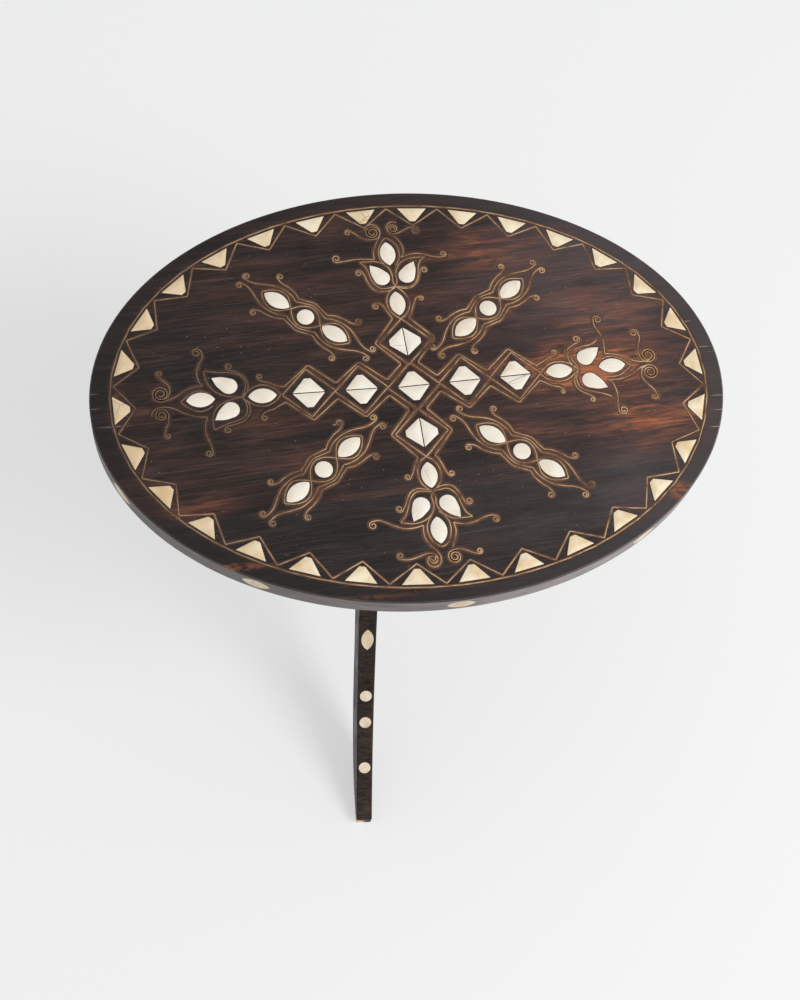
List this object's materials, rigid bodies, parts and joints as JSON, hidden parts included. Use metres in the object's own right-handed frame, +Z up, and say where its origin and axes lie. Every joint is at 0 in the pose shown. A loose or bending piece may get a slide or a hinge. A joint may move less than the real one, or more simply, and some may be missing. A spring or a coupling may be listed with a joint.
{
  "type": "inlaid tripod stool",
  "caption": "Low tripod stool with an oval planked top on S-curved plank legs, inlaid with bone and fine wire in a cross, flower and zigzag border pattern.",
  "frame": {"origin": "on the floor, in the middle of the stool's bounding box", "axes": "+Z up, +X along the oval's long axis, -Y towards the front leg"},
  "size_m": [0.55, 0.4774, 0.43],
  "materials": {
    "top_wood": "dark stained hardwood, waxed and worn",
    "base_wood": "dark stained hardwood, worn pale at the feet",
    "peg_wood": "dark wooden pegs",
    "bone": "polished bone, ivory to honey in colour",
    "wire": "dull, rubbed copper-brass wire"
  },
  "bodies": {
    "root": {"top_plank_front": "top_wood", "top_plank_mid_front": "top_wood", "top_plank_mid_back": "top_wood", "top_plank_back": "top_wood", "plank_tenons": "peg_wood", "batten_left": "base_wood", "batten_right": "base_wood", "batten_pegs": "peg_wood", "core_post": "base_wood", "leg_front": "base_wood", "leg_right": "base_wood", "leg_left": "base_wood", "leg_pegs": "peg_wood", "arm_dowels": "peg_wood", "diamond_halves": "bone", "arm_almonds": "bone", "flower_petals": "bone", "diagonal_almonds": "bone", "diagonal_discs": "bone", "border_triangles": "bone", "rim_almonds": "bone", "leg_front_inlays": "bone", "leg_right_inlays": "bone", "leg_left_inlays": "bone", "border_wire": "wire", "zigzag_wire": "wire", "lozenge_wires": "wire"}
  },
  "joints": []
}
